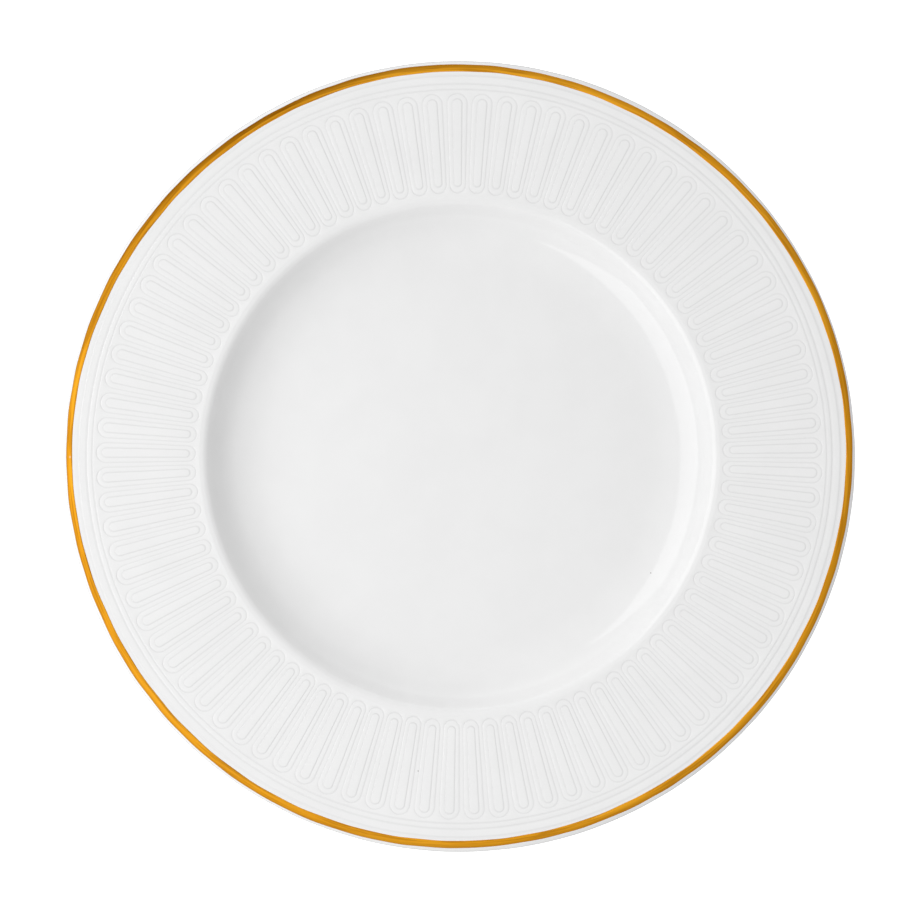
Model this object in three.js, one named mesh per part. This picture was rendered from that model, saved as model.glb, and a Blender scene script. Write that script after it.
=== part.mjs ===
// A china dinner plate: one fired porcelain body, with a line of gold fired on to its rim.
// Millimetres, +Z up. The origin is the middle of the plate, on the table that the foot stands on.

import * as THREE from "three";

// Driving dimensions. Slopes are in degrees from level.
const PLATE_RADIUS = 135;

const WELL_RADIUS = 66; // the flat floor of the well ends here
const WELL_HEIGHT = 5.6; // top of the floor above the table
const SWEEP_CURVE = 38; // radius of the shallow curve that leaves the floor
const SWEEP_SLOPE = 17; // slope at which the tighter curve takes over
const CAVETTO_CURVE = 14; // radius of the hollow curve of the wall
const WALL_SLOPE = 55; // the steepest part, straight between the two curves that it joins
const WALL_WIDTH = 1.6; // seen from above
const SHOULDER_CURVE = 3.2; // radius of the round edge between the wall and the rim
const RIM_SLOPE = 7.2; // the rim's upper face

const LIP_REACH = 3.1; // how far the lip rounds over, seen from above
const LIP_DROP = 2.1; // from the lip's crest down to its outermost edge
const LIP_UNDERCUT = 0.9; // from the outermost edge down to the underside

const UNDERSIDE_SLOPE = 7.6; // steeper than the upper face, so the rim thickens inwards
const UNDERSIDE_CURVE_END = 97; // the underside is straight from here out to the lip
const UNDERSIDE_CURVE_HANDLE = 9; // how far the curve keeps the direction of each of its ends

const RECESS_HEIGHT = 2; // underside of the well above the table
const RECESS_RADIUS = 70.6; // where the recess turns down into the foot
const FOOT_INNER = 72.8; // inner and outer edge of the foot's flat bearing face
const FOOT_OUTER = 75.4;
const FOOT_BEVEL = 0.4; // width and height of the bevel on both sides of the bearing face
const FOOT_TOP_RADIUS = 77.4; // where the foot's outer face meets the underside of the wall
const FOOT_TOP_HEIGHT = 3.1;
const FOOT_TOP_SLOPE = 16; // slope of the underside where it leaves the foot

const GILT_INNER = 131.3; // the gold line's inner and outer edge
const GILT_OUTER = 133.7;
const GILT_THICKNESS = 0.1;

const FACETS = 96; // round the plate
const RIGHT_ANGLE = 90;

const { acos, atan, cos, sin, tan } = Math;
const radians = THREE.MathUtils.degToRad;
const degrees = THREE.MathUtils.radToDeg;

// A point of the plate's section: its distance from the axis, and its height above the table.
const point = (radius, height) => new THREE.Vector2(radius, height);

// Unit vectors of a face of the section that has the given slope: out along it, and standing on it.
const along = (slope) => point(cos(radians(slope)), sin(radians(slope)));
const normalOf = (slope) => point(-sin(radians(slope)), cos(radians(slope)));

// The point reached from another by going a distance in a direction.
const from = (start, direction, distance) => start.clone().addScaledVector(direction, distance);

// A curve of the upper face that turns from one slope to another, going outwards and starting at a
// point. A negative radius is a rounded edge, and a positive one a hollow. The start is left out.
function turn(start, radius, fromSlope, toSlope, steps) {
  const centre = from(start, normalOf(fromSlope), radius);
  return Array.from({ length: steps }, (_, i) => {
    const slope = fromSlope + ((toSlope - fromSlope) * (i + 1)) / steps;
    return from(centre, normalOf(slope), -radius);
  });
}

// The upper face from the axis out to the rim: floor, sweep, cavetto, straight wall and shoulder.
function wellAndWall() {
  const face = [point(0, WELL_HEIGHT), point(WELL_RADIUS, WELL_HEIGHT)];
  face.push(...turn(face.at(-1), SWEEP_CURVE, 0, SWEEP_SLOPE, 5));
  face.push(...turn(face.at(-1), CAVETTO_CURVE, SWEEP_SLOPE, WALL_SLOPE, 6));
  face.push(from(face.at(-1), along(WALL_SLOPE), WALL_WIDTH / cos(radians(WALL_SLOPE))));
  face.push(...turn(face.at(-1), -SHOULDER_CURVE, WALL_SLOPE, RIM_SLOPE, 5));
  return face;
}

// The rim's upper face at a distance from the axis.
const rimStart = wellAndWall().at(-1);
const onRim = (radius) =>
  point(radius, rimStart.y + (radius - rimStart.x) * tan(radians(RIM_SLOPE)));

// The lip is part of two ellipses that meet at its outermost point. The upper one is tangent to the
// rim's upper face, and the lower one to its underside. Angles on them are in degrees, from the
// outermost point towards up.
const lipHeight = (angle) => (angle > 0 ? LIP_DROP : LIP_UNDERCUT);
const tangentAngle = (slope, height) => degrees(atan((tan(radians(slope)) * LIP_REACH) / height));
const lipTop = RIGHT_ANGLE + tangentAngle(RIM_SLOPE, LIP_DROP);
const lipUnder = tangentAngle(UNDERSIDE_SLOPE, LIP_UNDERCUT) - RIGHT_ANGLE;
const lipFromCentre = (angle) =>
  point(LIP_REACH * cos(radians(angle)), lipHeight(angle) * sin(radians(angle)));
const lipCentre = point(PLATE_RADIUS - LIP_REACH, 0);
lipCentre.y = onRim(lipCentre.x + lipFromCentre(lipTop).x).y - lipFromCentre(lipTop).y;
const onLip = (angle) => lipFromCentre(angle).add(lipCentre);

// Points on the lip after its first angle, up to and with its last.
const lipPoints = (first, last, steps) =>
  Array.from({ length: steps }, (_, i) => onLip(first + ((last - first) * (i + 1)) / steps));

// The stretch of the upper face that the gold line covers, from its outer edge, which is on the
// lip, over the crest to its inner edge on the rim.
const giltOuterAngle = degrees(acos((GILT_OUTER - lipCentre.x) / LIP_REACH));
const giltStretch = () => [
  onLip(giltOuterAngle),
  ...lipPoints(giltOuterAngle, lipTop, 3),
  onRim(GILT_INNER),
];

// The foot, from the recess under the well out to the underside of the wall.
function foot() {
  return [
    point(RECESS_RADIUS, RECESS_HEIGHT),
    point(FOOT_INNER - FOOT_BEVEL, FOOT_BEVEL),
    point(FOOT_INNER, 0),
    point(FOOT_OUTER, 0),
    point(FOOT_OUTER + FOOT_BEVEL, FOOT_BEVEL),
    point(FOOT_TOP_RADIUS, FOOT_TOP_HEIGHT),
  ];
}

// The underside of the wall, one S-shaped curve from the foot to the rim's straight part, and then
// the straight part as far as the lip.
function underside() {
  const start = point(FOOT_TOP_RADIUS, FOOT_TOP_HEIGHT);
  const lipEnd = onLip(lipUnder);
  const straight = (lipEnd.x - UNDERSIDE_CURVE_END) / cos(radians(UNDERSIDE_SLOPE));
  const end = from(lipEnd, along(UNDERSIDE_SLOPE), -straight);
  const curve = new THREE.CubicBezierCurve(
    start,
    from(start, along(FOOT_TOP_SLOPE), UNDERSIDE_CURVE_HANDLE),
    from(end, along(UNDERSIDE_SLOPE), -UNDERSIDE_CURVE_HANDLE),
    end,
  );
  return [...curve.getPoints(8).slice(1), lipEnd];
}

// A body of revolution from a section, turned so that its axis is +Z.
function turned(name, section, material) {
  const mesh = new THREE.Mesh(new THREE.LatheGeometry(section, FACETS), material);
  mesh.name = name;
  mesh.rotation.x = Math.PI / 2;
  return mesh;
}

function porcelainBody() {
  const glazed = new THREE.MeshStandardMaterial({ color: 0xf4f3f0, roughness: 0.12, metalness: 0 });
  const section = [
    point(0, RECESS_HEIGHT),
    ...foot(),
    ...underside(),
    ...lipPoints(lipUnder, 0, 4),
    ...lipPoints(0, giltOuterAngle, 3).slice(0, -1),
    ...giltStretch(),
    ...wellAndWall().reverse(),
  ];
  return turned("porcelain_body", section, glazed);
}

// The gold line lies on the rim: its lower face is the stretch of the rim that it covers.
function giltRimBand() {
  const gold = new THREE.MeshStandardMaterial({ color: 0xc58a1c, roughness: 0.28, metalness: 1 });
  const underneath = giltStretch().reverse();
  const top = giltStretch().map((p) => point(p.x, p.y + GILT_THICKNESS));
  return turned("gilt_rim_band", [...underneath, ...top, underneath[0]], gold);
}

const plate = new THREE.Group();
plate.add(porcelainBody(), giltRimBand());

export default plate;
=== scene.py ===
"""Looks of a china dinner plate: moulded relief under a clear glaze, a hand-brushed gold line on the
lip, and a pale studio. The plate's own sizes are in millimetres and slopes in degrees, as in the CAD
source, and new_mesh() turns them into metres. The materials and the studio are in metres."""

from math import asin, atan, cos, degrees, pi, radians, sin, tan

import bpy
import numpy as np
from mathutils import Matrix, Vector


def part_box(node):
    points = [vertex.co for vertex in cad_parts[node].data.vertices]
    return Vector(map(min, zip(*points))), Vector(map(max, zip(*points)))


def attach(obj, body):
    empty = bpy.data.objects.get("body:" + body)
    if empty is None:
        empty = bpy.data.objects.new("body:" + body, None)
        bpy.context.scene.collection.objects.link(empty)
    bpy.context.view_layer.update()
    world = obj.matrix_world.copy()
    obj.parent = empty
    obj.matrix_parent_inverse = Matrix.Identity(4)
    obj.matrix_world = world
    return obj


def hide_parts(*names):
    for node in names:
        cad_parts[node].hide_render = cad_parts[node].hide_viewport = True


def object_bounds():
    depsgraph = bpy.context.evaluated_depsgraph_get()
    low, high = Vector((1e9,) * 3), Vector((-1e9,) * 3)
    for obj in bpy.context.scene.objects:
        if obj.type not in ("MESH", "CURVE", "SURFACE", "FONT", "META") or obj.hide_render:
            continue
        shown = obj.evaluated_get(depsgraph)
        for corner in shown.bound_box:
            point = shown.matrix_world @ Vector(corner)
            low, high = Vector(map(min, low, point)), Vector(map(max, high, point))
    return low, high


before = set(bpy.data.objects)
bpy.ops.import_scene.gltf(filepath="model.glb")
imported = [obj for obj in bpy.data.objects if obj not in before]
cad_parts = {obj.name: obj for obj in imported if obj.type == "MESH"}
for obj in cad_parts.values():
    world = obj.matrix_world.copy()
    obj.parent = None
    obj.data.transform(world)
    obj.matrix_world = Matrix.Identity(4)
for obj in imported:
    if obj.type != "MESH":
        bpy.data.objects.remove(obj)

cad_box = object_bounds()
MM = 0.001
rng = np.random.default_rng(27)

# ---------------------------------------------------------------- sizes that repeat the CAD section
PLATE_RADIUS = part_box("porcelain_body")[1].x / MM
WELL_RADIUS = 66
WELL_HEIGHT = 5.6
SWEEP_CURVE = 38
SWEEP_SLOPE = 17
CAVETTO_CURVE = 14
WALL_SLOPE = 55
WALL_WIDTH = 1.6
SHOULDER_CURVE = 3.2
RIM_SLOPE = 7.2
LIP_REACH = 3.1
LIP_DROP = 2.1
LIP_UNDERCUT = 0.9
UNDERSIDE_SLOPE = 7.6
UNDERSIDE_CURVE_END = 97
UNDERSIDE_CURVE_HANDLE = 9
RECESS_HEIGHT = 2
RECESS_RADIUS = 70.6
FOOT_INNER = 72.8
FOOT_OUTER = 75.4
FOOT_BEVEL = 0.4
FOOT_TOP_RADIUS = 77.4
FOOT_TOP_HEIGHT = 3.1
FOOT_TOP_SLOPE = 16
RIM_END = 131.3  # the gold line's inner edge in the CAD, just short of the lip

# ---------------------------------------------------------------- soft corners under the plate
FOOT_CORNER = 0.15  # how far a corner of the bearing face reaches out towards its bevel
FOOT_CORNER_HEIGHT = 0.1
FOOT_FLAT_INSET = 0.1  # how far in from its edges the bearing face starts to be flat

# Points of the recess's soft corner: how far outwards and upwards from the CAD's sharp one.
RECESS_CORNER = ((0.5, -0.45), (0, -0.08), (-0.9, 0))

# ---------------------------------------------------------------- sizes of the moulded relief
FLUTES = 89
PITCH = 2 * pi / FLUTES  # angle from one flute to the next
FIRST_FLUTE = radians(90.37)  # where one flute's middle line points, from +X towards +Y
FLUTE_OUTER_CENTRE = 120.36  # centre of a flute's round outer end, at every half width
FLUTE_INNER_CENTRE = 94.37  # centre of its round inner end, at a half width of nothing
INNER_CENTRE_SHIFT = 3.67  # how much farther in that centre lies, at a half width of a whole pitch
FIELD_INNER = 89.6  # the flutes lie between these two radii
FIELD_OUTER = 124.7

# Half widths across one flute, as shares of the pitch, and the levels there.
TONGUE_EDGE = 0.168
INNER_GROOVE = 0.2
BEAD_START = 0.236
BEAD_END = 0.366
OUTER_GROOVE = 0.404
LAND_START = 0.442
TONGUE_LEVEL = 0.112
TONGUE_CROWN = 0.02
BEAD_LEVEL = 0.058
BEAD_CROWN = 0.015
INNER_GROOVE_LEVEL = 0.048
OUTER_GROOVE_LEVEL = -0.005

# The plain collar at both ends of the flutes, and the sunk land between two flutes that rises to it.
COLLAR_LEVEL = 0.1
OUTER_RISE = 4.5  # width of the rise, from the centre of the outer ends outwards
INNER_RISE_END = 90.1  # where the rise at the inner ends is complete

SHOULDER_BEAD = 0.05
SHOULDER_BEAD_RADIUS = 89.1
SHOULDER_BEAD_WIDTH = 0.55
COLLAR_START = 86.9  # where the rim's relief starts to rise from the shoulder

# Radius of a ring groove's bottom, width of its steep inner and its gentle outer wall, and depth.
RING_GROOVES = ((125.15, 0.35, 0.65, 0.072), (127.05, 0.4, 0.95, 0.095))
STEP_RADIUS = 129.75  # where the collar steps down to the plain edge
STEP_HALF_WIDTH = 0.25

# Along a flute's grooves the china is greyed by glaze that pools there and by painted shade in the
# creases. The first two numbers below give how far to both sides of a groove's middle it is fullest,
# and where it ends, as shares of the pitch; the last two say the same of the ring grooves and the
# step, in millimetres.
SHADED_POOL_CORE = 0.01
SHADED_POOL_EDGE = 0.04
INNER_SHADED_POOL_SHIFT = 0.008  # the inner groove's grey lies this much closer to the tongue
OUTER_SHADED_POOL = 0.7  # glaze and painted shade in the outer groove, as a share of those in the inner one
RING_SHADED_POOL = 0.65  # the same for the ring grooves and the step
RING_SHADED_POOL_CORE = 0.1
RING_SHADED_POOL_EDGE = 0.5

# ---------------------------------------------------------------- unevenness of pressed clay
# How far each field moves the surface, and the field's middle wavelength.
SIDEWAYS_DRIFT, SIDEWAYS_WAVELENGTH = 0.035, 14
OUTWARD_DRIFT, OUTWARD_WAVELENGTH = 0.045, 17
RIPPLE, RIPPLE_WAVELENGTH = 0.012, 11
WARP, WARP_WAVELENGTH = 0.05, 150
UNEVEN_FADE = 2  # height over which it sets in, above the recess, so that the foot stays flat
DRIFT_START = 18  # the drifts grow from nothing at this radius
DRIFT_GROWTH = 60  # over this distance
WAVES = 7  # in a field, in random directions
WAVE_LENGTHS = (0.6, 1.5)  # shortest and longest of them, as shares of the field's wavelength
WAVE_SPREAD = 1.5  # how far their sum strays, over the square root of their number

# ---------------------------------------------------------------- the gold film
FILM = 0.03  # how far the film stands out of the glaze along its middle
FILM_EDGE = 0.01  # and along its edges
FILM_BED = 0.02  # how far its underside reaches into the glaze
GILT_STEPS = 720
GILT_ROWS = 9

# The line's two edges, and how the brush drifted: waves round the plate, how far, and the bearing
# of a crest.
GILT_INNER_EDGE = 131.3
GILT_OUTER_EDGE = 133.78
GILT_INNER_DRIFT = ((2, 0.4, 10), (4, 0.15, 0), (5, 0.2, 27))
GILT_OUTER_DRIFT = ((2, 0.3, 10), (3, 0.1, 10), (5, 0.2, 27))

# A finer unevenness of both edges: how far each of its waves goes at most, and as a share of that
# at least, and how many times each goes up and down round the plate.
GILT_WAVER = 0.05
LEAST_WAVER = 0.2
GILT_INNER_WAVES = (7, 11, 16, 23, 47)
GILT_OUTER_WAVES = (6, 9, 13, 29, 53)

PAINTED_SHADE_BEARING = 122  # middle and reach of the gold's painted shade, in degrees
PAINTED_SHADE_REACH = 50
GILT_JOIN = (-0.1327, -0.0002, 0.0216)  # where the stroke ended on its start, in metres

# ---------------------------------------------------------------- how fine the mesh is
SWEEP_STEPS = 7
CAVETTO_STEPS = 10
SHOULDER_STEPS = 8
LIP_STEPS = 16
LIP_UNDER_STEPS = 7
UNDERSIDE_STEPS = 14

# Steps across a wedge, where a row of the mesh has few, some and many of them.
FEW = 1
SOME = 2
MANY = 4
END_STEPS = 12  # of a flute's round end
SIDE_STEPS = 5  # of its straight side
FIELD_STEPS = END_STEPS - 4  # across a wedge, of the rows that close the field of flutes

# Radii of the rows that nothing else places.
FIRST_ROW = 6
INNER_WELL_ROWS = (14, 24)
OUTER_WELL_ROWS = (36, 50, 60)
SHOULDER_ROWS = (88.6, 88.85, 89.1, 89.3)
EDGE_ROW = 130.7
UNDERSIDE_ROWS = (128, 115)
OUTER_RECESS_ROW = 55
INNER_RECESS_ROWS = (30, 10)

# Half widths of the loops round a flute, and shares of the walls of a ring groove and of the step.
FLUTE_WIDTHS = (
    0.06, 0.12, 0.15, TONGUE_EDGE, 0.179, 0.189, INNER_GROOVE, 0.211, 0.222, BEAD_START,
    0.268, 0.301, 0.334, BEAD_END, 0.378, 0.391, OUTER_GROOVE, 0.417, 0.43, LAND_START,
)
INNER_WALL_ROWS = (1, 0.7, 0.4, 0.15)
OUTER_WALL_ROWS = (0.08, 0.3, 0.55, 0.8, 1)
STEP_ROWS = (-2, -1, -0.4, 0.4, 1)


# ---------------------------------------------------------------- section of the plate
def along(slope):
    """Unit vector outwards along a face of the section with that slope."""
    return np.array([cos(radians(slope)), sin(radians(slope))])


def normal_of(slope):
    """Unit vector that stands on such a face."""
    return np.array([-sin(radians(slope)), cos(radians(slope))])


def turn(start, radius, from_slope, to_slope, steps):
    """Points of a curve of the upper face that turns from one slope to another, without its start."""
    centre = start + normal_of(from_slope) * radius
    return [centre - normal_of(s) * radius for s in np.linspace(from_slope, to_slope, steps + 1)[1:]]


def well_and_wall():
    """The upper face from the edge of the well's floor out to the rim, as [radius, height] points."""
    face = [np.array([WELL_RADIUS, WELL_HEIGHT], float)]
    face += turn(face[-1], SWEEP_CURVE, 0, SWEEP_SLOPE, SWEEP_STEPS)
    face += turn(face[-1], CAVETTO_CURVE, SWEEP_SLOPE, WALL_SLOPE, CAVETTO_STEPS)
    face.append(face[-1] + along(WALL_SLOPE) * WALL_WIDTH / cos(radians(WALL_SLOPE)))
    face += turn(face[-1], -SHOULDER_CURVE, WALL_SLOPE, RIM_SLOPE, SHOULDER_STEPS)
    return face


rim_start = well_and_wall()[-1]


def on_rim(radius):
    """Height of the rim's upper face."""
    return rim_start[1] + (radius - rim_start[0]) * tan(radians(RIM_SLOPE))


def tangent_angle(slope, height):
    """Angle on a lip ellipse of that height, from its top or bottom, where it has that slope."""
    return degrees(atan(tan(radians(slope)) * LIP_REACH / height))


LIP_TOP = 90 + tangent_angle(RIM_SLOPE, LIP_DROP)
LIP_UNDER = tangent_angle(UNDERSIDE_SLOPE, LIP_UNDERCUT) - 90


def lip_from_centre(angle):
    """A point of the lip, from the centre of its two ellipses."""
    height = LIP_DROP if angle > 0 else LIP_UNDERCUT
    return np.array([LIP_REACH * cos(radians(angle)), height * sin(radians(angle))])


lip_start = lip_from_centre(LIP_TOP)
lip_radius = PLATE_RADIUS - LIP_REACH
lip_centre = np.array([lip_radius, on_rim(lip_radius + lip_start[0]) - lip_start[1]])
lip_end = lip_centre + lip_from_centre(LIP_UNDER)


def lip_points(first, last, steps):
    """Points on the lip after its first angle, up to and with its last."""
    return [lip_centre + lip_from_centre(a) for a in np.linspace(first, last, steps + 1)[1:]]


def upper_height(radius):
    """Height of the rim's and the lip's upper face."""
    if radius < lip_radius + lip_start[0]:
        return on_rim(radius)
    share = (radius - lip_radius) / LIP_REACH
    return lip_centre[1] + LIP_DROP * cos(asin(share))


def bezier(a, b, c, d, steps):
    """Points of a cubic curve, without its start."""
    return [
        a * (1 - t) ** 3 + b * 3 * t * (1 - t) ** 2 + c * 3 * t * t * (1 - t) + d * t**3
        for t in np.linspace(0, 1, steps + 1)[1:]
    ]


def under_rim(radius):
    """Height of the straight part of the underside."""
    return lip_end[1] - (lip_end[0] - radius) * tan(radians(UNDERSIDE_SLOPE))


def underside_curve():
    """The underside from its straight part in to the foot's outer face, as [radius, height] points."""
    straight = (lip_end[0] - UNDERSIDE_CURVE_END) / cos(radians(UNDERSIDE_SLOPE))
    start = lip_end - along(UNDERSIDE_SLOPE) * straight
    end = np.array([FOOT_TOP_RADIUS, FOOT_TOP_HEIGHT])
    first_handle = start - along(UNDERSIDE_SLOPE) * UNDERSIDE_CURVE_HANDLE
    last_handle = end + along(FOOT_TOP_SLOPE) * UNDERSIDE_CURVE_HANDLE
    return [start, *bezier(start, first_handle, last_handle, end, UNDERSIDE_STEPS)]


def foot_profile():
    """The foot ring's outer and inner side, each with its edge of the bearing face."""
    bevel, corner = FOOT_BEVEL, FOOT_CORNER
    outer = [
        (FOOT_OUTER + bevel, bevel),
        (FOOT_OUTER + corner, FOOT_CORNER_HEIGHT),
        (FOOT_OUTER - FOOT_FLAT_INSET, 0),
    ]
    inner = [
        (FOOT_INNER + FOOT_FLAT_INSET, 0),
        (FOOT_INNER - corner, FOOT_CORNER_HEIGHT),
        (FOOT_INNER - bevel, bevel),
    ]
    return outer, inner


def recess_profile():
    """The recess under the well, from the foot's inner side inwards."""
    corner = [(RECESS_RADIUS + out, RECESS_HEIGHT + up) for out, up in RECESS_CORNER]
    return [*corner, (OUTER_RECESS_ROW, RECESS_HEIGHT)]


# ---------------------------------------------------------------- relief
def smooth(edge_a, edge_b, x):
    """0 at edge_a, 1 at edge_b, and an S-curve in between."""
    t = min(1.0, max(0.0, (x - edge_a) / (edge_b - edge_a)))
    return t * t * (3 - 2 * t)


def land_level(radius):
    """The land between two flutes is sunk, and rises at both ends to the plain collar."""
    outer = smooth(FLUTE_OUTER_CENTRE, FLUTE_OUTER_CENTRE + OUTER_RISE, radius)
    inner = smooth(FLUTE_INNER_CENTRE, INNER_RISE_END, radius)
    return COLLAR_LEVEL * max(outer, inner)


def groove_side(level, bottom, edge, groove, width):
    """A side of a groove: at one level at its edge, and at the groove's own at the bottom."""
    return level + (bottom - level) * smooth(edge, groove, width)


def flute_level(width, radius):
    """Height of the relief at a half width of a flute, from its middle line to the land."""
    if width <= TONGUE_EDGE:
        return TONGUE_LEVEL + TONGUE_CROWN * (1 - (width / TONGUE_EDGE) ** 2)
    if width <= INNER_GROOVE:
        return groove_side(TONGUE_LEVEL, INNER_GROOVE_LEVEL, TONGUE_EDGE, INNER_GROOVE, width)
    if width <= BEAD_START:
        return groove_side(BEAD_LEVEL, INNER_GROOVE_LEVEL, BEAD_START, INNER_GROOVE, width)
    if width <= BEAD_END:
        across = (2 * width - BEAD_START - BEAD_END) / (BEAD_END - BEAD_START)
        return BEAD_LEVEL + BEAD_CROWN * (1 - across**2)
    if width <= OUTER_GROOVE:
        return groove_side(BEAD_LEVEL, OUTER_GROOVE_LEVEL, BEAD_END, OUTER_GROOVE, width)
    return groove_side(land_level(radius), OUTER_GROOVE_LEVEL, LAND_START, OUTER_GROOVE, width)


def ring_level(radius):
    """Height of the relief outside the flutes: the collar, the two ring grooves and the step."""
    step = smooth(STEP_RADIUS + STEP_HALF_WIDTH, STEP_RADIUS - STEP_HALF_WIDTH, radius)
    level = COLLAR_LEVEL * step
    for bottom, inner_wall, outer_wall, depth in RING_GROOVES:
        wall = inner_wall if radius < bottom else outer_wall
        level -= depth * smooth(wall, 0, abs(radius - bottom))
    return level


def shoulder_level(radius):
    """Height of the soft bead along the top of the wall, and of the collar that it runs into."""
    across = (radius - SHOULDER_BEAD_RADIUS) / SHOULDER_BEAD_WIDTH
    bead = SHOULDER_BEAD * max(0.0, 1 - across**2) ** 2
    return bead + COLLAR_LEVEL * smooth(COLLAR_START, SHOULDER_BEAD_RADIUS, radius)


def groove_shaded_pool(width):
    """Grey of glaze pooling and painted shade at a half width of a flute: most along its two grooves."""
    inner = 1 - smooth(SHADED_POOL_CORE, SHADED_POOL_EDGE, abs(width - INNER_GROOVE + INNER_SHADED_POOL_SHIFT))
    outer = 1 - smooth(SHADED_POOL_CORE, SHADED_POOL_EDGE, abs(width - OUTER_GROOVE))
    return max(inner, OUTER_SHADED_POOL * outer)


def ring_shaded_pool(radius):
    """Grey of glaze pooling and painted shade in the ring grooves and along the step."""
    low = [bottom for bottom, _, _, _ in RING_GROOVES] + [STEP_RADIUS]
    return RING_SHADED_POOL * max(1 - smooth(RING_SHADED_POOL_CORE, RING_SHADED_POOL_EDGE, abs(radius - r)) for r in low)


# ---------------------------------------------------------------- one flute's wedge of the plate
class Wedge:
    """One flute's share of the plate, from the axis over the lip to the axis again below. It is
    repeated round the plate, and its right-hand edge is the next wedge's left-hand edge."""

    def __init__(self):
        self.points = []  # [share of the pitch from the middle line, radius, height, glaze and painted shade]
        self.faces = []  # (indices of points, material)
        self.twin = {}  # a point on the right-hand edge: the same point on the left-hand edge
        self.material = 0

    def add(self, share, radius, height, pool=0.0):
        self.points.append((share, radius, height, pool))
        return len(self.points) - 1

    def face(self, *corners):
        """A face, without corners that repeat the one before, if three are left."""
        ring = [c for i, c in enumerate(corners) if c != corners[i - 1]]
        if len(ring) > 2:
            self.faces.append((ring, self.material))

    def row(self, radius, height, steps, pool=0.0):
        """Points right across the wedge at one radius."""
        made = [self.add(i / steps - 0.5, radius, height, pool) for i in range(steps + 1)]
        self.twin[made[-1]] = made[0]
        return made

    def edge_pair(self, radius, height):
        """The two points at one radius on the wedge's left-hand and right-hand edge."""
        left, right = self.row(radius, height, 1)
        return left, right

    def strip(self, row, following):
        """Faces between two rows, the second of which has as many, twice as many or half the steps."""
        few = min(len(row), len(following)) - 1
        for i in range(few):
            if len(row) == len(following):
                self.face(row[i], following[i], following[i + 1], row[i + 1])
            elif len(row) < len(following):
                a, b, c = following[2 * i : 2 * i + 3]
                self.face(row[i], a, b)
                self.face(row[i], b, row[i + 1])
                self.face(row[i + 1], b, c)
            else:
                a, b, c = row[2 * i : 2 * i + 3]
                self.face(a, following[i], b)
                self.face(b, following[i], following[i + 1])
                self.face(b, following[i + 1], c)

    def loop(self, inside, outside):
        """Faces between two closed loops with the same number of points."""
        for i in range(len(inside)):
            self.face(inside[i - 1], outside[i - 1], outside[i], inside[i])


def side_radii(width):
    """Radii of the points along the straight side of a flute at one half width, ends included."""
    inner_centre = FLUTE_INNER_CENTRE - INNER_CENTRE_SHIFT * width
    return np.linspace(FLUTE_OUTER_CENTRE, inner_centre, SIDE_STEPS + 1)


def flute_loop(wedge, width):
    """A closed loop round the flute at one half width. It starts on the left of the outer end."""
    side = side_radii(width)
    swing = width * PITCH
    outline = []
    for a in np.radians(np.linspace(-90, 90, END_STEPS + 1)):
        outline.append((width * sin(a), side[0] * (1 + swing * cos(a))))
    outline += [(width, r) for r in side[1:-1]]
    for a in np.radians(np.linspace(90, -90, END_STEPS + 1)):
        outline.append((width * sin(a), side[-1] * (1 - swing * cos(a))))
    outline += [(-width, r) for r in side[-2:0:-1]]
    return [wedge.add(u, r, on_rim(r) + flute_level(width, r), groove_shaded_pool(width)) for u, r in outline]


def spine(wedge):
    """The middle line of a flute, given as a loop in which both sides share their points."""
    line = [wedge.add(0, r, on_rim(r) + flute_level(0, r)) for r in side_radii(0)]
    return [line[0]] * (END_STEPS + 1) + line[1:-1] + [line[-1]] * (END_STEPS + 1) + line[-2:0:-1]


def field_of_flutes(wedge, inner_row, outer_row):
    """The fluted part of the rim, between two rows that are already there."""
    side = side_radii(0.5)
    middle = [wedge.edge_pair(r, on_rim(r) + land_level(r)) for r in side]
    near_outer = (side[0] + FIELD_OUTER) / 2
    near_inner = (side[-1] + FIELD_INNER) / 2
    outer = wedge.edge_pair(near_outer, on_rim(near_outer) + land_level(near_outer))
    inner = wedge.edge_pair(near_inner, on_rim(near_inner) + land_level(near_inner))
    border = [middle[0][0], outer[0], *outer_row, outer[1]]
    border += [right for _, right in middle]
    border += [inner[1], *inner_row[::-1], inner[0]]
    border += [left for left, _ in middle[:0:-1]]
    loop = spine(wedge)
    for width in FLUTE_WIDTHS:
        following = flute_loop(wedge, width)
        wedge.loop(loop, following)
        loop = following
    wedge.loop(loop, border)


def groove_radii():
    """Radii of the rows that shape the two ring grooves and the step down to the plain edge."""
    radii = []
    for bottom, inner_wall, outer_wall, _ in RING_GROOVES:
        radii += [bottom - inner_wall * share for share in INNER_WALL_ROWS]
        radii += [bottom + outer_wall * share for share in OUTER_WALL_ROWS]
    return radii + [STEP_RADIUS + STEP_HALF_WIDTH * share for share in STEP_ROWS]


def rows(wedge, start, profile, steps, pool=lambda radius: 0.0):
    """Rows at each [radius, height] of a profile, joined to each other and to the row before."""
    row = start
    for radius, height in profile:
        following = wedge.row(radius, height, steps, pool(radius))
        wedge.strip(row, following)
        row = following
    return row


def well_to_flutes(wedge):
    """The well and the wall. Returns the well's middle point, and the row that the flutes start from."""
    pole = wedge.add(0, 0, WELL_HEIGHT)
    first = wedge.row(FIRST_ROW, WELL_HEIGHT, FEW)
    wedge.face(pole, *first)
    row = rows(wedge, first, [(r, WELL_HEIGHT) for r in INNER_WELL_ROWS], FEW)
    row = rows(wedge, row, [(r, WELL_HEIGHT) for r in OUTER_WELL_ROWS], SOME)
    raised = well_and_wall() + [(r, on_rim(r)) for r in SHOULDER_ROWS]
    row = rows(wedge, row, [(r, z + shoulder_level(r)) for r, z in raised], MANY)
    last = (FIELD_INNER, on_rim(FIELD_INNER) + shoulder_level(FIELD_INNER))
    return pole, rows(wedge, row, [last], FIELD_STEPS)


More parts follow.
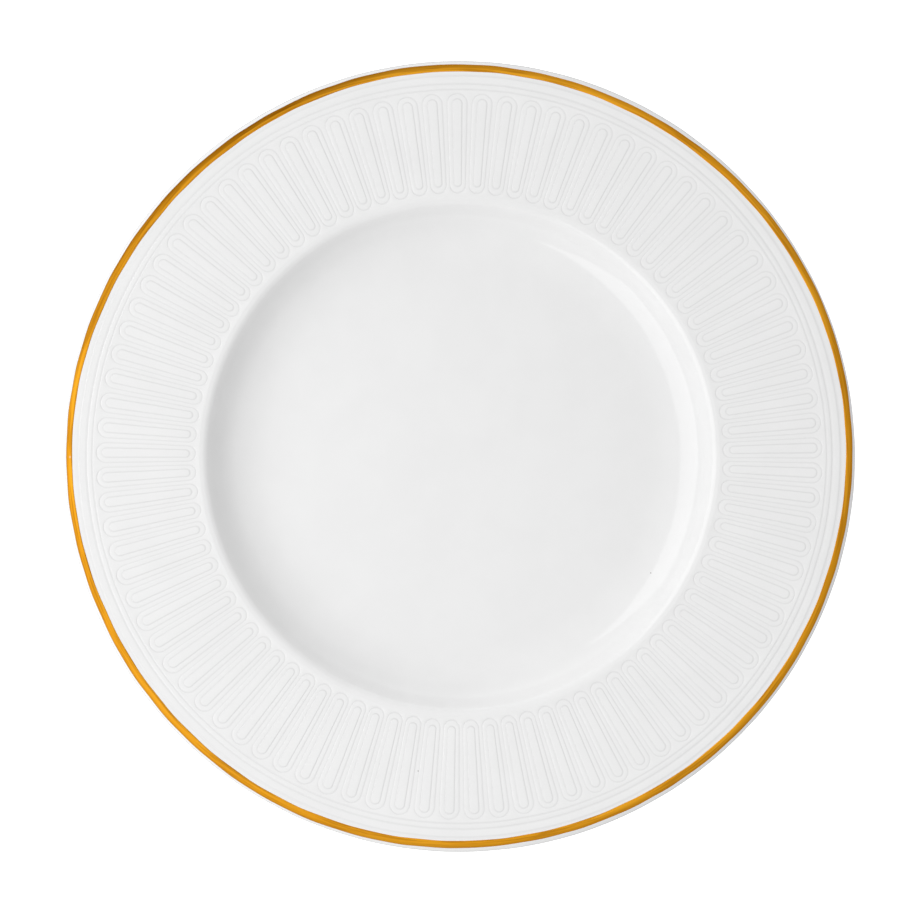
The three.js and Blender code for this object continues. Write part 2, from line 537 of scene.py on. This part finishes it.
def collar_to_lip(wedge, start):
    """The ring grooves, the plain edge, and the lip over to the underside. Returns its last row."""
    row = rows(wedge, start, [(r, on_rim(r) + ring_level(r)) for r in groove_radii()], MANY, ring_shaded_pool)
    row = rows(wedge, row, [(r, on_rim(r)) for r in (EDGE_ROW, RIM_END)], MANY)
    row = rows(wedge, row, lip_points(LIP_TOP, 0, LIP_STEPS), MANY)
    return rows(wedge, row, lip_points(0, LIP_UNDER, LIP_UNDER_STEPS), MANY)


def underneath(wedge, start):
    """The underside, the foot with its bare bearing face, and the recess. Returns the middle point."""
    row = rows(wedge, start, [(r, under_rim(r)) for r in UNDERSIDE_ROWS], SOME)
    row = rows(wedge, row, underside_curve(), SOME)
    foot_outside, foot_inside = foot_profile()
    row = rows(wedge, row, foot_outside, SOME)
    wedge.material = 1
    row = rows(wedge, row, foot_inside[:1], SOME)
    wedge.material = 0
    row = rows(wedge, row, foot_inside[1:] + recess_profile(), SOME)
    row = rows(wedge, row, [(r, RECESS_HEIGHT) for r in INNER_RECESS_ROWS], FEW)
    pole = wedge.add(0, 0, RECESS_HEIGHT)
    wedge.face(row[0], pole, row[1])
    return pole


def plate_wedge():
    """The whole wedge, from the middle of the well outwards and back along the underside."""
    wedge = Wedge()
    pole, field_start = well_to_flutes(wedge)
    field_end = wedge.row(FIELD_OUTER, on_rim(FIELD_OUTER) + COLLAR_LEVEL, FIELD_STEPS)
    field_of_flutes(wedge, field_start, field_end)
    last_pole = underneath(wedge, collar_to_lip(wedge, field_end))
    return wedge, (pole, last_pole)


# ---------------------------------------------------------------- the whole plate from its wedge
def repeat_round(wedge, poles):
    """Points, faces, materials and grey of glaze pooling and painted shade, with every shared point made
    once.
    """
    own = [k for k in range(len(wedge.points)) if k not in wedge.twin and k not in poles]
    place = {k: n for n, k in enumerate(own)}
    template = np.array([wedge.points[k] for k in own])
    middle = FIRST_FLUTE + PITCH * np.arange(FLUTES)
    angle = (middle[:, None] + PITCH * template[None, :, 0]).ravel()
    radius, height, pool = (np.tile(template[:, c], FLUTES) for c in (1, 2, 3))
    points = np.column_stack([radius * np.cos(angle), radius * np.sin(angle), height])
    points = np.vstack([points, [(0, 0, wedge.points[p][2]) for p in poles]])
    pool = np.append(pool, [0.0] * len(poles))

    def index(k, flute):
        if k in poles:
            return FLUTES * len(own) + poles.index(k)
        if k in wedge.twin:
            return (flute + 1) % FLUTES * len(own) + place[wedge.twin[k]]
        return flute * len(own) + place[k]

    faces = [[index(k, flute) for k in face] for flute in range(FLUTES) for face, _ in wedge.faces]
    materials = [material for _ in range(FLUTES) for _, material in wedge.faces]
    return points, faces, materials, pool


def uneven(wavelength):
    """A smooth uneven field over the plate, mostly from -1 to 1, as a function of x and y."""
    heading, phase = rng.uniform(0, 2 * pi, (2, WAVES))
    length = wavelength * rng.uniform(*WAVE_LENGTHS, WAVES)

    def field(x, y):
        share = [(x * cos(h) + y * sin(h)) / n for h, n in zip(heading, length)]
        return sum(np.sin(2 * pi * s + p) for s, p in zip(share, phase)) / WAVES**0.5 / WAVE_SPREAD

    return field


sideways_field = uneven(SIDEWAYS_WAVELENGTH)
outward_field = uneven(OUTWARD_WAVELENGTH)
ripple_field = uneven(RIPPLE_WAVELENGTH)
warp_field = uneven(WARP_WAVELENGTH)


def hand_made(points):
    """The small unevenness of pressed clay: edges that wander, and a surface that isn't quite flat."""
    x, y, z = points.T
    upper = np.clip((z - RECESS_HEIGHT) / UNEVEN_FADE, 0, 1)
    sideways = SIDEWAYS_DRIFT * sideways_field(x, y)
    outwards = OUTWARD_DRIFT * outward_field(x, y)
    lift = RIPPLE * ripple_field(x, y) + WARP * warp_field(x, y)
    radius = np.maximum(np.hypot(x, y), 1)
    reach = upper * np.clip((radius - DRIFT_START) / DRIFT_GROWTH, 0, 1)
    moved_x = x + reach * (outwards * x - sideways * y) / radius
    moved_y = y + reach * (outwards * y + sideways * x) / radius
    return np.column_stack([moved_x, moved_y, z + upper * lift])


# ---------------------------------------------------------------- the two pieces
def new_mesh(name, points, faces, materials, face_materials=None, **attributes):
    """A smooth-shaded object from points in millimetres, with attributes stored on its points."""
    mesh = bpy.data.meshes.new(name)
    mesh.from_pydata([tuple(p) for p in np.asarray(points) * MM], [], faces)
    mesh.polygons.foreach_set("use_smooth", [True] * len(mesh.polygons))
    for material in materials:
        mesh.materials.append(material)
    if face_materials is not None:
        mesh.polygons.foreach_set("material_index", face_materials)
    for key, values in attributes.items():
        layer = mesh.attributes.new(key, "FLOAT", "POINT")
        layer.data.foreach_set("value", np.asarray(values, np.float32))
    mesh.update()
    piece = bpy.data.objects.new(name, mesh)
    bpy.context.scene.collection.objects.link(piece)
    return piece


def porcelain(glazed, bare):
    """The china, in one mesh."""
    points, faces, face_materials, pool = repeat_round(*plate_wedge())
    points = hand_made(points)
    # The grooves' grey, of pooling glaze and painted shade, is stored on the points.
    piece = new_mesh("porcelain", points, faces, [glazed, bare], face_materials, glaze_pool=pool)
    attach(piece, "root")
    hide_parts("porcelain_body")


def gilt_edge(angle, radius, drift, waves):
    """Radius of one edge of the gold line at each angle."""
    for count, far, bearing in drift:
        radius = radius + far * np.cos(count * (angle - radians(bearing)))
    for count in waves:
        far = GILT_WAVER * rng.uniform(LEAST_WAVER, 1)
        radius = radius + far * np.sin(count * angle + rng.uniform(0, 2 * pi))
    return radius


def starved_share(angle):
    """1 where the gold's painted shade is deepest, falling to 0 on both sides."""
    apart = np.degrees(np.abs((angle - radians(PAINTED_SHADE_BEARING) + pi) % (2 * pi) - pi))
    return np.clip((PAINTED_SHADE_REACH - apart) / PAINTED_SHADE_REACH, 0, 1)


def closed_rings(ring_count, steps):
    """Faces between rings of points that follow each other, and between the last and the first."""
    faces = []
    for ring in range(ring_count):
        this, following = ring * steps, (ring + 1) % ring_count * steps
        for i in range(steps):
            j = (i + 1) % steps
            faces.append((this + i, following + i, following + j, this + j))
    return faces


def gilt_line(gold):
    """The gold film, thickest along its middle, with edges that drift and waver as a brush does."""
    angle = np.arange(GILT_STEPS) * 2 * pi / GILT_STEPS
    inner = gilt_edge(angle, GILT_INNER_EDGE, GILT_INNER_DRIFT, GILT_INNER_WAVES)
    outer = gilt_edge(angle, GILT_OUTER_EDGE, GILT_OUTER_DRIFT, GILT_OUTER_WAVES)
    top = np.linspace(0, 1, GILT_ROWS)
    film = FILM_EDGE + (FILM - FILM_EDGE) * (1 - (2 * top - 1) ** 4)
    points = []
    across = []
    for share, lift in [*zip(top, film), (1, -FILM_BED), (0, -FILM_BED)]:
        for a, r in zip(angle, inner + (outer - inner) * share):
            points.append((r * cos(a), r * sin(a), upper_height(r) + lift))
        across += [share] * GILT_STEPS
    ring_count = len(across) // GILT_STEPS
    faces = closed_rings(ring_count, GILT_STEPS)
    # The gold's painted shade towards the upper left is stored on its points.
    piece = new_mesh("gold_line", hand_made(np.array(points)), faces, [gold], across=across,
                     starved=np.tile(starved_share(angle), ring_count))
    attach(piece, "root")
    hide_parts("gilt_rim_band")


# ---------------------------------------------------------------- materials
class Nodes:
    """Short names for building the node tree of a material or a world."""

    def __init__(self, owner):
        owner.use_nodes = True
        self.owner = owner
        self.tree = owner.node_tree

    def new(self, kind, settings=None, **inputs):
        """A node, with its settings. An input is named as in Blender, or is _ with its number."""
        node = self.tree.nodes.new(kind)
        for key, value in (settings or {}).items():
            setattr(node, key, value)
        for key, value in inputs.items():
            self.feed(node.inputs[int(key[1:]) if key[1:].isdigit() else key], value)
        return node

    def feed(self, socket, value):
        """Link another node's output to a socket, or set the socket to a fixed value."""
        if isinstance(value, bpy.types.NodeSocket):
            self.tree.links.new(value, socket)
        else:
            socket.default_value = value

    def math(self, operation, *values):
        node = self.tree.nodes.new("ShaderNodeMath")
        node.operation = operation
        for socket, value in zip(node.inputs, values):
            self.feed(socket, value)
        return node.outputs[0]

    def object_point(self):
        return self.tree.nodes.new("ShaderNodeTexCoord").outputs["Object"]

    def attribute(self, name):
        """A number that is stored on the mesh's points."""
        return self.new("ShaderNodeAttribute", {"attribute_name": name}).outputs["Fac"]

    def noise(self, vector, scale, detail=2.0):
        return self.new("ShaderNodeTexNoise", Vector=vector, Scale=scale, Detail=detail).outputs[0]

    def ramp(self, value, low, high, from_value=0.0, to_value=1.0):
        """value from low to high becomes from_value to to_value, and no further."""
        node = self.tree.nodes.new("ShaderNodeMapRange")
        for socket, number in zip(node.inputs, (value, low, high, from_value, to_value)):
            self.feed(socket, number)
        return node.outputs[0]

    def mix(self, share, first, second):
        """Two colours, mixed."""
        node = self.tree.nodes.new("ShaderNodeMix")
        node.data_type = "RGBA"
        sockets = [s for s in node.inputs if s.enabled]
        for socket, value in zip(sockets, (share, first, second)):
            self.feed(socket, value)
        return next(s for s in node.outputs if s.enabled)

    def bump(self, height, strength, distance):
        node = self.new("ShaderNodeBump", Strength=strength, Distance=distance, Height=height)
        return node.outputs[0]

    def finish(self, shader, **inputs):
        """Feed the inputs of a shader that is in the tree, each named with _ for a space."""
        for key, value in inputs.items():
            self.feed(self.tree.nodes[shader].inputs[key.replace("_", " ")], value)
        return self.owner


def new_material(name):
    return Nodes(bpy.data.materials.new(name))


# Scales of noise are to a metre. A bump has a strength, and a height in metres.
DULL_CHINA = (0.852, 0.852, 0.852, 1)
CLEAR_CHINA = (0.866, 0.866, 0.866, 1)
MOTTLE_SCALE = 70
# Grey of the grooves: glaze that pools there, and painted shade in the creases.
POOLED_GLAZE_AND_SHADE = (0.7, 0.7, 0.7, 1)
POOLED_AND_SHADED_SHARE = 0.55  # how much of that grey shows where glaze pools and painted shade is deepest
SPECK = (0.2, 0.18, 0.16, 1)
SPECK_CELLS = 75  # to a metre; a cell holds at most one speck
SPECK_RADIUS = 0.013  # as a share of a cell
SPECK_CHOICE = 0.93  # a cell holds a speck only if its random grey is lighter than this
CHINA_IOR = 1.5
GLAZE_ROUGHNESS = (0.07, 0.1)
GLOSS_SCALE = 45  # of the patches that are more and less glossy
RIPPLE_SCALE = 420
RIPPLE_BUMP = (0.3, 0.00001)


def glazed_porcelain():
    """White china under clear glaze: grooves greyed by pooling glaze and painted shade, a rare pin
    speck, a faint ripple.
    """
    nodes = new_material("glazed_porcelain")
    point = nodes.object_point()
    mottle = nodes.ramp(nodes.noise(point, MOTTLE_SCALE, 3), 0.35, 0.65)
    china = nodes.mix(mottle, DULL_CHINA, CLEAR_CHINA)
    # Painted shade, with pooling glaze, greys the grooves and ring grooves.
    pool = nodes.math("MULTIPLY", nodes.attribute("glaze_pool"), POOLED_AND_SHADED_SHARE)
    shaded_pooled = nodes.mix(pool, china, POOLED_GLAZE_AND_SHADE)
    flat = {"voronoi_dimensions": "2D"}
    cells = nodes.new("ShaderNodeTexVoronoi", flat, Vector=point, Scale=SPECK_CELLS)
    near = nodes.math("LESS_THAN", cells.outputs["Distance"], SPECK_RADIUS)
    chosen = nodes.math("GREATER_THAN", cells.outputs["Color"], SPECK_CHOICE)
    colour = nodes.mix(nodes.math("MULTIPLY", near, chosen), shaded_pooled, SPECK)
    roughness = nodes.ramp(nodes.noise(point, GLOSS_SCALE), 0.3, 0.7, *GLAZE_ROUGHNESS)
    normal = nodes.bump(nodes.noise(point, RIPPLE_SCALE, 1), *RIPPLE_BUMP)
    return nodes.finish("Principled BSDF", Base_Color=colour, Roughness=roughness, IOR=CHINA_IOR,
                        Normal=normal)


CLEAN_BISCUIT = (0.74, 0.72, 0.68, 1)
STAINED_BISCUIT = (0.6, 0.57, 0.52, 1)
STAIN_SCALE = 120
BISCUIT_ROUGHNESS = 0.8
GRAIN_SCALE = 2500
GRAIN_BUMP = (0.5, 0.0001)


def bare_china():
    """The foot's bearing face, where the glaze was wiped off before firing."""
    nodes = new_material("bare_china")
    point = nodes.object_point()
    stain = nodes.ramp(nodes.noise(point, STAIN_SCALE, 4), 0.45, 0.75)
    colour = nodes.mix(stain, CLEAN_BISCUIT, STAINED_BISCUIT)
    normal = nodes.bump(nodes.noise(point, GRAIN_SCALE, 4), *GRAIN_BUMP)
    return nodes.finish("Principled BSDF", Base_Color=colour, Roughness=BISCUIT_ROUGHNESS,
                        IOR=CHINA_IOR, Normal=normal)


BRIGHT_GOLD = (0.87, 0.44, 0.03, 1)
DEEP_GOLD = (0.82, 0.39, 0.02, 1)
THIN_GOLD = (0.32, 0.12, 0.003, 1)
FINE_STREAKS = (60, 1900)  # scale along the brush stroke, and across it
BROAD_STREAKS = (24, 300)

# How much of the thin film's colour shows along the film's outer edge, in its broad and its fine
# streaks, and as painted shade towards the upper left, which is given for the inner and the outer edge.
OUTSIDE_THIN = 0.3
BROAD_THIN = 0.2
FINE_THIN = 0.4
PAINTED_SHADE_THIN = (0.05, 0.7)

BARE_SPECK = (0.8, 0.55, 0.38, 1)
BARE_SHARE = 0.6  # how much of that colour shows in the speck
BARE_RADII = (0.00025, 0.0005)  # where the speck starts to fade, and where it ends
GOLD_ROUGHNESS = (0.58, 0.72)
BRUSH_BUMP = (0.35, 0.00002)


def streaks(nodes, point, round_scale, across_scale):
    """Noise that is drawn out round the plate."""
    split = nodes.new("ShaderNodeSeparateXYZ", Vector=point)
    flat = nodes.new("ShaderNodeCombineXYZ", X=split.outputs[0], Y=split.outputs[1]).outputs[0]
    radius = nodes.new("ShaderNodeVectorMath", {"operation": "LENGTH"}, _0=flat).outputs["Value"]
    x = nodes.math("MULTIPLY", split.outputs[0], round_scale)
    y = nodes.math("MULTIPLY", split.outputs[1], round_scale)
    z = nodes.math("MULTIPLY", radius, across_scale)
    stretched = nodes.new("ShaderNodeCombineXYZ", X=x, Y=y, Z=z).outputs[0]
    return nodes.noise(stretched, 1, 3)


def brushed_gold():
    """Fired gold: streaks that follow the brush round the rim, browner where the film thins out towards
    its outer edge, painted shade towards the upper left, and a speck left bare where the stroke was
    joined."""
    nodes = new_material("brushed_gold")
    point = nodes.object_point()
    fine = streaks(nodes, point, *FINE_STREAKS)
    broad = streaks(nodes, point, *BROAD_STREAKS)
    across = nodes.attribute("across")
    rich = nodes.mix(nodes.ramp(broad, 0.3, 0.55), BRIGHT_GOLD, DEEP_GOLD)
    outside = nodes.ramp(across, 0.35, 0.8, 0, OUTSIDE_THIN)
    worn = nodes.ramp(broad, 0.48, 0.66, 0, BROAD_THIN)
    streak = nodes.ramp(fine, 0.46, 0.6, 0, FINE_THIN)
    thin = nodes.math("MAXIMUM", nodes.math("MAXIMUM", outside, worn), streak)
    # Painted shade: the gold darkens towards the upper left, standing in for a dimmer reflection there.
    painted_shade = nodes.ramp(across, 0.3, 0.55, *PAINTED_SHADE_THIN)
    thin = nodes.math("MULTIPLY_ADD", nodes.attribute("starved"), painted_shade, thin)
    colour = nodes.mix(thin, rich, THIN_GOLD)
    apart = nodes.new("ShaderNodeVectorMath", {"operation": "DISTANCE"}, _0=point, _1=GILT_JOIN)
    bare = nodes.ramp(apart.outputs["Value"], *BARE_RADII, BARE_SHARE, 0)
    colour = nodes.mix(bare, colour, BARE_SPECK)
    roughness = nodes.ramp(fine, 0.3, 0.7, *GOLD_ROUGHNESS)
    normal = nodes.bump(fine, *BRUSH_BUMP)
    return nodes.finish("Principled BSDF", Base_Color=colour, Metallic=1.0, Roughness=roughness,
                        Normal=normal)


# ---------------------------------------------------------------- studio
CAMERA_LENS = 135
FRAME_WIDTH = 0.3141  # what the camera sees across at the height of the lip
CAMERA_OFFSET = (0.0005, -0.00155)
CLIP_SHARE = 0.1  # nothing nearer than this share of the distance is rendered
CLIP_END = 100

SOFTBOX_DISTANCE = 0.65
SOFTBOX_AZIMUTH = 187
SOFTBOX_ELEVATION = 42
SOFTBOX_SIZE = (1.1, 0.62)
SOFTBOX_POWER = 3.0

ZENITH = 0.72
HORIZON = 0.5
WINDOWS = 1.12  # two low windows, far off along +Y and -Y
WINDOW_SKEW = 0.3  # share by which the one along +Y is brighter than their mean, and the other darker
BOUNCE = 0.55  # from the pale floor
BACKDROP = 1.0  # what shows behind the floor, which lights nothing

FLOOR_COLOUR = (0.8, 0.8, 0.8, 1)
FLOOR_GLOW = 0.85
FLOOR_SHADE = 0.2  # the glow under the plate, out to this radius
FLOOR_SHADE_RADIUS = 0.09
FLOOR_ROUGHNESS = 0.9
FLOOR_SIZE = 40


def camera():
    """A camera straight above the plate."""
    data = bpy.data.cameras.new("camera")
    data.lens = CAMERA_LENS
    distance = FRAME_WIDTH * data.lens / data.sensor_width
    data.clip_start, data.clip_end = distance * CLIP_SHARE, CLIP_END
    holder = bpy.data.objects.new("camera", data)
    holder.location = (*CAMERA_OFFSET, cad_box[1].z + distance)
    bpy.context.scene.collection.objects.link(holder)
    bpy.context.scene.camera = holder


def softbox():
    """One large soft light beside the plate."""
    data = bpy.data.lights.new("softbox", "AREA")
    data.shape = "RECTANGLE"
    data.size, data.size_y = SOFTBOX_SIZE
    data.energy = SOFTBOX_POWER
    lamp = bpy.data.objects.new("softbox", data)
    turn_to, rise = radians(SOFTBOX_AZIMUTH), radians(SOFTBOX_ELEVATION)
    towards = Vector((cos(turn_to) * cos(rise), sin(turn_to) * cos(rise), sin(rise)))
    lamp.location = towards * SOFTBOX_DISTANCE
    lamp.rotation_mode = "QUATERNION"
    lamp.rotation_quaternion = towards.to_track_quat("Z", "Y")
    bpy.context.scene.collection.objects.link(lamp)


def studio_light():
    """A pale surround with the floor's bounce from below, and two low windows in it."""
    world = bpy.data.worlds.new("studio")
    nodes = Nodes(world)
    math = nodes.math
    direction = nodes.new("ShaderNodeTexCoord").outputs["Generated"]
    _, side, up = nodes.new("ShaderNodeSeparateXYZ", Vector=direction).outputs
    surround = math("MULTIPLY_ADD", math("MULTIPLY", up, up), ZENITH - HORIZON, HORIZON)
    low = math("POWER", math("SUBTRACT", 1, up), 2)
    windows = math("MULTIPLY", math("MULTIPLY", math("MULTIPLY", side, side), low), WINDOWS)
    windows = math("MULTIPLY", windows, math("MULTIPLY_ADD", side, WINDOW_SKEW, 1))
    above = math("GREATER_THAN", up, 0)
    light = math("MULTIPLY_ADD", above, math("SUBTRACT", math("ADD", surround, windows), BOUNCE), BOUNCE)
    seen = nodes.new("ShaderNodeLightPath").outputs["Is Camera Ray"]
    shown = math("MULTIPLY_ADD", seen, math("SUBTRACT", BACKDROP, light), light)
    bpy.context.scene.world = nodes.finish("Background", Color=shown)


def floor():
    """A pale floor. It glows round the plate, so that it stays white there, and less under it."""
    nodes = new_material("pale_floor")
    point = nodes.object_point()
    distance = nodes.new("ShaderNodeVectorMath", {"operation": "LENGTH"}, _0=point).outputs["Value"]
    glow = nodes.ramp(distance, FLOOR_SHADE_RADIUS, PLATE_RADIUS * MM, FLOOR_SHADE, FLOOR_GLOW)
    material = nodes.finish("Principled BSDF", Base_Color=FLOOR_COLOUR, Roughness=FLOOR_ROUGHNESS,
                            Emission_Color=(1, 1, 1, 1), Emission_Strength=glow)
    mesh = bpy.data.meshes.new("floor")
    half = FLOOR_SIZE / 2
    corners = [(-half, -half, 0), (half, -half, 0), (half, half, 0), (-half, half, 0)]
    mesh.from_pydata(corners, [], [(0, 1, 2, 3)])
    mesh.materials.append(material)
    plane = bpy.data.objects.new("floor", mesh)
    plane.visible_diffuse = False
    plane.visible_glossy = False
    bpy.context.scene.collection.objects.link(plane)


bpy.context.scene.view_settings.view_transform = "Standard"
camera()
studio_light()
softbox()
floor()
porcelain(glazed_porcelain(), bare_china())
gilt_line(brushed_gold())
